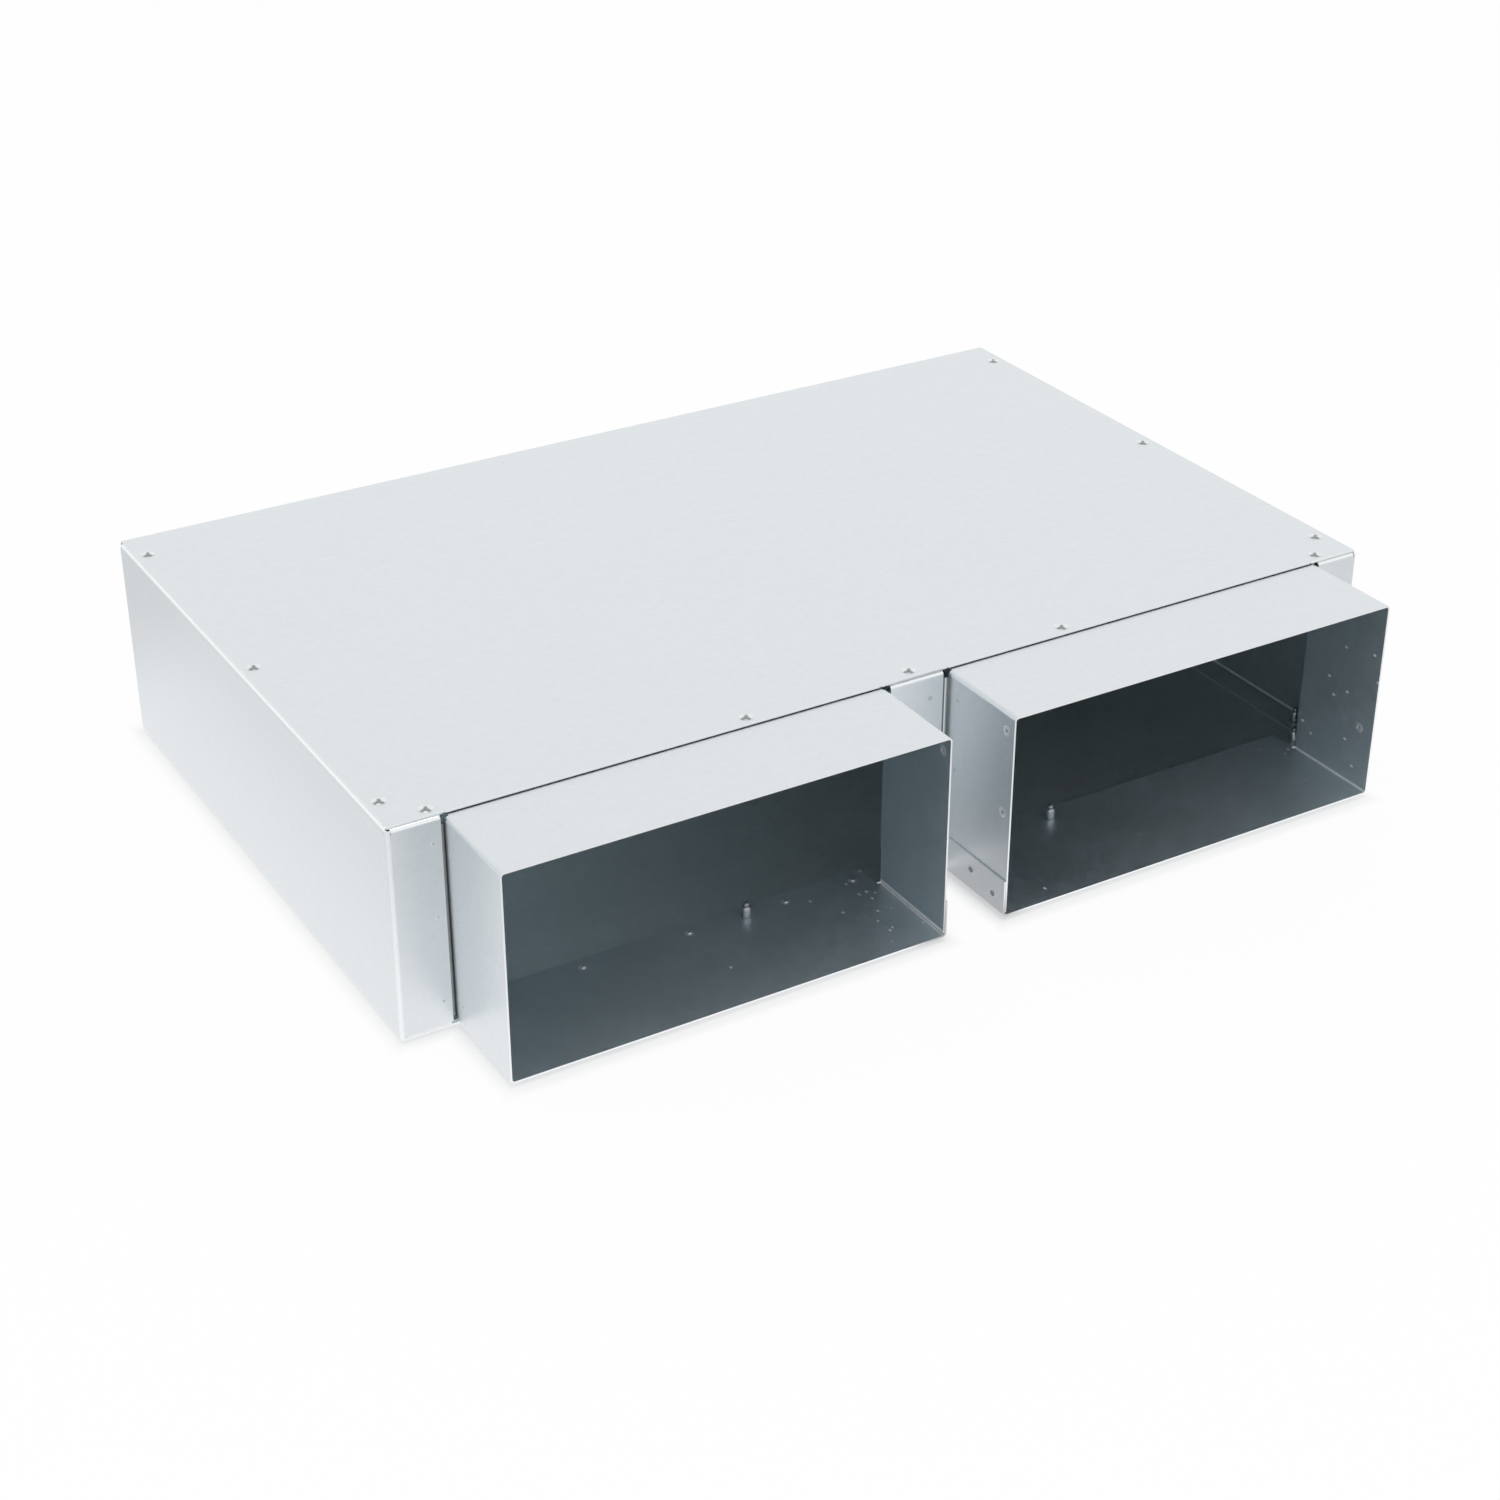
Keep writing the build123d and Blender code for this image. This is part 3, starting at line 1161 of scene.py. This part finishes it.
    def build(self) -> None:
        """Make the rivets and put them in the place of the frame's."""
        rows = [(node, Facing.UP) for node in self.upper_rows]
        rows += [(node, Facing.DOWN) for node in self.lower_rows]
        sites = [site for node, facing in rows for site in self.row(node, facing)]
        tree = TurnedSolid("blind_rivets", self.sizes(), self.profile)
        piece = tree.piece(sites, self.finish.material("rivet_aluminium_and_steel"), self.segments, self.seed)
        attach(piece, BODY)
        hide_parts(*(node for node, facing in rows))
        LOG.info("made %s: %d rivets, %d faces", piece.name, len(sites), len(piece.data.polygons))


@dataclass(frozen=True)
class MarkShape:
    """The sizes of one kind of press mark, which stands a little proud of the sheet and is sunk into it.

    Attributes:
        name: the name of the marks' piece.
        rim: the diameter of the raised rim.
        rise: the rim's height over the sheet.
        bite: the diameter of the dark spot at the tool's bite: heat tint on a weld spot, painted shade on the
            other marks.
        floor: the height of that spot's middle over the sheet.
        stretch: the mark's scale across, along and up.
    """

    name: str
    rim: float
    rise: float
    bite: float
    floor: float
    stretch: tuple[float, float, float] = (1.0, 1.0, 1.0)


@dataclass
class PressMarks:
    """The marks of the tools: weld spots by the spigots' roots, pierced pips, lap clinches, tongue nubs.

    Attributes:
        strip_face: the depth of the front's face.
        weld_columns: how far from the middle the welds of the strips lie.
        weld_levels: the heights of the welds.
        root_row: the depth of the welds on the spigots' walls.
        outer_wall: how far from the middle the spigots' outer walls stand.
        seam_wall: the same for their walls behind the lap.
        lap_wall: the same for the lap.
        pip_row: the depth of the pips in the seam walls.
        pip_levels: their heights, of which the left spigot has only the upper one.
        far_pip: the depth and the height of the pip in the right spigot's outer wall.
        clinches: the depth and the height of each clinch.
        tongue_face: the height of the lower tongues.
        nub_row: the depth of the nubs.
        nubs: where the nubs lie across the left tongue.
        sink: how far a mark reaches into the sheet.
        BITE: points of the bite, as shares of its radius and of its middle's height.
        LIP: points of the lip, as shares of the way from the bite to the rim and of the lip's height.
    """

    BITE: ClassVar[Pairs] = ((0.0, 1.0), (0.6, 1.0), (0.85, 0.8))
    LIP: ClassVar[Pairs] = ((0.0, 0.75), (0.4, 1.0), (0.75, 0.55), (1.0, 0.08))
    strip_face: float = -130.0 * MM
    weld_columns: tuple[float, ...] = (7.0 * MM, 230.0 * MM)
    weld_levels: tuple[float, ...] = (15.0 * MM, 56.0 * MM, 90.5 * MM)
    root_row: float = -138.0 * MM
    outer_wall: float = 225.0 * MM
    seam_wall: float = 15.9 * MM
    lap_wall: float = 15.0 * MM
    gauge: float = 0.8 * MM
    pip_row: float = -174.6 * MM
    pip_levels: tuple[float, ...] = (53.0 * MM, 93.0 * MM)
    far_pip: tuple[float, float] = (-171.0 * MM, 34.0 * MM)
    clinches: tuple[tuple[float, float], ...] = ((-154.7 * MM, 13.5 * MM), (-171.6 * MM, 10.3 * MM))
    tongue_face: float = 3.3 * MM
    nub_row: float = -122.0 * MM
    nubs: tuple[float, ...] = (-162.0 * MM, -110.0 * MM, -61.0 * MM, -26.0 * MM)
    sink: float = 0.25 * MM
    segments: int = 20
    seed: int = 11
    weld_finish: PressMarkFinish = PressMarkFinish(bite_darkness=0.4, bare=0.95)
    # The pressed marks' dark bites are painted shade.
    press_finish: PressMarkFinish = PressMarkFinish()
    weld: MarkShape = MarkShape("weld_spots", 2.6 * MM, 0.10 * MM, 1.7 * MM, 0.03 * MM)
    pip: MarkShape = MarkShape("pierced_pips", 5.0 * MM, 0.22 * MM, 1.9 * MM, 0.04 * MM)
    clinch: MarkShape = MarkShape("lap_clinches", 5.2 * MM, 0.20 * MM, 3.6 * MM, 0.05 * MM, (0.8, 1.0, 1.0))
    nub: MarkShape = MarkShape("tongue_nubs", 4.2 * MM, 0.15 * MM, 2.2 * MM, 0.8 * MM)

    def sizes(self, shape: MarkShape) -> dict[str, float]:
        """Give the lengths that one kind's profile is worked out from."""
        return {
            "Rim diameter": shape.rim,
            "Rim height": shape.rise,
            "Bite diameter": shape.bite,
            "Bite height": shape.floor,
            "Sink": self.sink,
        }

    @classmethod
    def profile(cls, size: dict[str, Value]) -> Profile:
        """Work out half a mark's outline: the tool's bite, the lip round it and the sunk root.

        Args:
            size: the mark's lengths.

        Returns:
            The profile.
        """
        bite, rim = size["Bite diameter"] * 0.5, size["Rim diameter"] * 0.5
        middle, lip, root = size["Bite height"], size["Rim height"], -size["Sink"]
        points = [ProfilePoint(bite * share, middle * level) for share, level in cls.BITE]
        steel_until = len(points) - 1
        points += [ProfilePoint(bite * (1.0 - way) + rim * way, lip * level) for way, level in cls.LIP]
        points += [ProfilePoint(rim, root), ProfilePoint(0.0, root)]
        return Profile(points, len(points), steel_until, len(points))

    def welds(self) -> list[Site]:
        """Give the weld spots on the front's strips and by the roots of the spigots' walls."""
        sites = []
        for level in self.weld_levels:
            for hand in (-1.0, 1.0):
                sites += [Site(Vector((hand * column, self.strip_face, level)), Facing.FRONT)
                          for column in self.weld_columns]
                outward, inward = self.facings(hand)
                sites.append(Site(Vector((hand * self.outer_wall, self.root_row, level)), outward))
                sites.append(Site(Vector((hand * self.seam_wall, self.root_row, level)), inward))
        return sites

    @staticmethod
    def facings(hand: float) -> tuple[Facing, Facing]:
        """Give the sides that point away from the middle and towards it."""
        return (Facing.RIGHT, Facing.LEFT) if hand > 0 else (Facing.LEFT, Facing.RIGHT)

    def pips(self) -> list[Site]:
        """Give both faces of the pips pierced through the spigots' walls."""
        places = [(1.0, self.seam_wall, self.pip_row, level) for level in self.pip_levels]
        places.append((-1.0, self.seam_wall, self.pip_row, max(self.pip_levels)))
        places.append((1.0, self.outer_wall - self.gauge, *self.far_pip))
        sites = []
        for hand, wall, row, level in places:
            outward, inward = self.facings(hand)
            sites.append(Site(Vector((hand * wall, row, level)), inward))
            sites.append(Site(Vector((hand * (wall + self.gauge), row, level)), outward))
        return sites

    def clinched(self) -> list[Site]:
        """Give the clinches that hold each spigot's lap."""
        return [Site(Vector((hand * self.lap_wall, row, level)), self.facings(hand)[1])
                for hand in (-1.0, 1.0) for row, level in self.clinches]

    def nubbed(self) -> list[Site]:
        """Give the nubs on the left spigot's lower tongue."""
        return [Site(Vector((place, self.nub_row, self.tongue_face)), Facing.UP) for place in self.nubs]

    def build(self) -> None:
        """Make each kind of mark as one piece."""
        scorched = self.weld_finish.material("scorched_zinc")
        pressed = self.press_finish.material("pressed_zinc")
        kinds = ((self.weld, scorched, self.welds()), (self.pip, pressed, self.pips()),
                 (self.clinch, pressed, self.clinched()), (self.nub, pressed, self.nubbed()))
        for shape, finish, sites in kinds:
            tree = TurnedSolid(shape.name, self.sizes(shape), self.profile)
            piece = tree.piece(sites, finish, self.segments, self.seed, spin=0.0, stretch=shape.stretch)
            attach(piece, BODY)
            LOG.info("made %s: %d marks, %d faces", piece.name, len(sites), len(piece.data.polygons))


@dataclass
class Studio:
    """The pale floor, with a painted pool of light and a painted shadow in its reflections, the soft light
    round the object and the photograph's camera.

    Attributes:
        white: the colour of the floor's own light and of the room.
        floor_reach: half the width of the floor.
        floor_albedo: the floor's colour under the lamps.
        floor_glow: how much of the floor's look is its own white and not the lamps' light.
        contact_glow: the same right under the object, so that its shadow shows there.
        contact_fade: the distances from the object between which the one turns into the other.
        mirror_glow: the same for the floor in reflections.
        floor_near: the floor's level in reflections beside the object, a painted pool of light.
        floor_far: the same further out.
        floor_between: the same between the spigots, a painted shadow.
        floor_fade: how far from the object the near level fades to the far one.
        spigot_span: how far from the middle the spigots start and end.
        between_edge: the distances from the middle at which the painted shadow before the spigots' gap fades
            out.
        between_reach: where that painted shadow starts before the spigots' mouths, and where it is darkest.
        world_level: the light of the room's walls.
        shade_level: the level of the dim band under the room's ceiling.
        shade_band: where that band starts, is darkest from and to, and ends, on a ball of radius 1.
        light_bounces: how often light may bounce inside the ducts.
    """

    white: tuple[float, float, float, float] = (1.0, 1.0, 1.0, 1.0)
    floor_reach: float = 6.0
    floor_albedo: float = 0.96
    floor_glow: float = 0.94
    contact_glow: float = 0.4
    contact_fade: tuple[float, float] = (-3 * MM, 8 * MM)
    mirror_glow: float = 0.92
    floor_near: float = 1.04
    floor_far: float = 0.81
    floor_between: float = 0.55
    floor_fade: float = 0.15
    spigot_span: tuple[float, float] = (15 * MM, 225 * MM)
    between_edge: tuple[float, float] = (18.2 * MM, 33.8 * MM)
    between_reach: tuple[float, float] = (-235 * MM, -190 * MM)
    world_level: float = 1.0
    shade_level: float = 0.3
    shade_band: tuple[float, float, float, float] = (0.72, 0.82, 0.93, 0.985)
    light_bounces: int = 20
    key_size: float = 1.3
    key_place: tuple[float, float, float] = (-0.25, -0.42, 1.7)
    key_radiance: float = 1.4
    camera_place: tuple[float, float, float] = (-0.591111, -0.982221, 0.651353)
    camera_azimuth: float = math.radians(-30.745)
    camera_elevation: float = math.radians(29.472)
    camera_lens: float = 65.09
    camera_sensor: float = 36.0
    camera_clip: tuple[float, float] = (0.01, 50.0)

    @staticmethod
    def rays(bench: NodeBench) -> tuple[Value, Value]:
        """Tell which rays show the backdrop.

        Args:
            bench: the bench of the tree that asks.

        Returns:
            1 for a ray straight from the camera, and 1 for one that is mirrored or let through.
        """
        path = bench.add("ShaderNodeLightPath")
        through = bench.value(path, "Is Transmission Ray")
        return bench.value(path, "Is Camera Ray"), bench.value(path, "Is Glossy Ray").larger(through)

    @staticmethod
    def beside(bench: ShaderBench, low: Vector, high: Vector) -> Value:
        """Give the distance on the floor from a box, less than 0 under it."""
        middle, half = (low + high) / 2, (high - low) / 2
        off = [abs(bench.along(axis) - middle[axis.value]) - half[axis.value] for axis in (Axis.X, Axis.Y)]
        return off[0].larger(off[1])

    def footprints(self) -> list[tuple[Vector, Vector]]:
        """Give the boxes that the casing and the two spigots cover."""
        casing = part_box(FoldedSheets.front)
        near, far = self.spigot_span
        front, back = CAD_BOX[0].y, casing[0].y
        boxes = [(Vector((min(ends), front, 0.0)), Vector((max(ends), back, 0.0)))
                 for ends in ((-far, -near), (near, far))]
        return [casing, *boxes]

    def mirrored_level(self, bench: ShaderBench) -> Value:
        """Give the floor's level in reflections: a painted pool of light beside the object, a painted shadow
        before the spigots' gap.
        """
        fade = self.beside(bench, *CAD_BOX).rise(0.0, self.floor_fade)
        level = self.floor_near - fade * (self.floor_near - self.floor_far)
        depth, front = bench.along(Axis.Y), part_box(FoldedSheets.front)[0].y
        between = 1.0 - abs(bench.along(Axis.X)).rise(*self.between_edge)
        between = between * depth.rise(*self.between_reach) * (depth < front)
        return level - between * (level - self.floor_between)

    def floor_white(self) -> bpy.types.Material:
        """Make the floor's pale paper, which is clear from below, keeps the object's shadow from above and
        carries a painted pool of light and a painted shadow in reflections.
        """
        bench = ShaderBench("floor_white")
        straight, mirrored = self.rays(bench)
        # In reflections the floor's glow paints a pool of light beside the object and a shadow before the
        # spigots' gap.
        strength = straight + mirrored * self.mirrored_level(bench)
        glow = bench.add("ShaderNodeEmission", {}, {"Color": self.white, "Strength": strength})
        paper = bench.add("ShaderNodeBsdfDiffuse", {}, {"Color": (*[self.floor_albedo] * 3, 1.0)})
        away = functools.reduce(Value.smaller, [self.beside(bench, *box) for box in self.footprints()])
        own = self.contact_glow + (self.floor_glow - self.contact_glow) * away.rise(*self.contact_fade)
        share = straight * own + mirrored * self.mirror_glow
        lit = bench.add("ShaderNodeMixShader", {},
                        {0: share, 1: bench.link(paper, "BSDF"), 2: bench.link(glow, "Emission")})
        clear = bench.add("ShaderNodeBsdfTransparent")
        below = bench.link(bench.add("ShaderNodeNewGeometry"), "Backfacing")
        surface = bench.add("ShaderNodeMixShader", {},
                            {0: below, 1: bench.link(lit, "Shader"), 2: bench.link(clear, "BSDF")})
        bench.add("ShaderNodeOutputMaterial", {}, {"Surface": bench.link(surface, "Shader")})
        return bench.material

    def floor(self) -> None:
        """Lay the pale floor."""
        reach = self.floor_reach
        corners = [(-reach, -reach, 0), (reach, -reach, 0), (reach, reach, 0), (-reach, reach, 0)]
        mesh = bpy.data.meshes.new("floor")
        mesh.from_pydata(corners, [], [(0, 1, 2, 3)])
        mesh.materials.append(self.floor_white())
        floor = bpy.data.objects.new("floor", mesh)
        bpy.context.scene.collection.objects.link(floor)

    def world(self) -> None:
        """Light the room with white walls all round and a dim band under the ceiling."""
        world = bpy.data.worlds.new("studio")
        bpy.context.scene.world = world
        world.use_nodes = True
        bench = NodeBench(world.node_tree)
        bench.tree.nodes.clear()
        way = bench.add("ShaderNodeTexCoord")
        split = bench.add("ShaderNodeSeparateXYZ", {}, {"Vector": bench.link(way, "Generated")})
        height = bench.value(split, "Z")
        start, dark_from, dark_to, end = self.shade_band
        band = height.rise(start, dark_from) * (1.0 - height.rise(dark_to, end))
        level = self.world_level - band * (self.world_level - self.shade_level)
        light = bench.add("ShaderNodeBackground", {}, {"Color": self.white, "Strength": level})
        bench.add("ShaderNodeOutputWorld", {}, {"Surface": bench.link(light, "Background")})

    def key(self) -> None:
        """Hang a large soft lamp over the front of the object."""
        lamp = bpy.data.lights.new("soft_key", "AREA")
        lamp.shape = "SQUARE"
        lamp.size = self.key_size
        lamp.energy = self.key_radiance * math.pi * self.key_size**2
        holder = bpy.data.objects.new("soft_key", lamp)
        holder.location = self.key_place
        holder.rotation_euler = (-Vector(self.key_place)).to_track_quat("-Z", "Y").to_euler()
        bpy.context.scene.collection.objects.link(holder)

    def camera(self) -> None:
        """Stand the camera where the photograph was taken from."""
        data = bpy.data.cameras.new("photo_camera")
        data.sensor_width = self.camera_sensor
        data.lens = self.camera_lens
        data.clip_start, data.clip_end = self.camera_clip
        camera = bpy.data.objects.new("photo_camera", data)
        azimuth, elevation = self.camera_azimuth, self.camera_elevation
        ahead = Vector((-math.sin(azimuth) * math.cos(elevation), math.cos(azimuth) * math.cos(elevation),
                        -math.sin(elevation)))
        camera.location = self.camera_place
        camera.rotation_euler = ahead.to_track_quat("-Z", "Y").to_euler()
        bpy.context.scene.collection.objects.link(camera)
        bpy.context.scene.camera = camera

    def build(self) -> None:
        """Set the stage."""
        scene = bpy.context.scene
        scene.view_settings.view_transform = "Standard"
        scene.cycles.max_bounces = self.light_bounces
        scene.cycles.glossy_bounces = self.light_bounces
        self.floor()
        self.world()
        self.key()
        self.camera()
        LOG.info("set the studio")


def main() -> None:
    """Build the looks in order: sheets, rivets, marks, then the studio."""
    logging.basicConfig(level=logging.INFO, format="%(name)s: %(message)s")
    FoldedSheets().dress()
    BlindRivets().build()
    PressMarks().build()
    Studio().build()


if __name__ == "__main__":
    main()
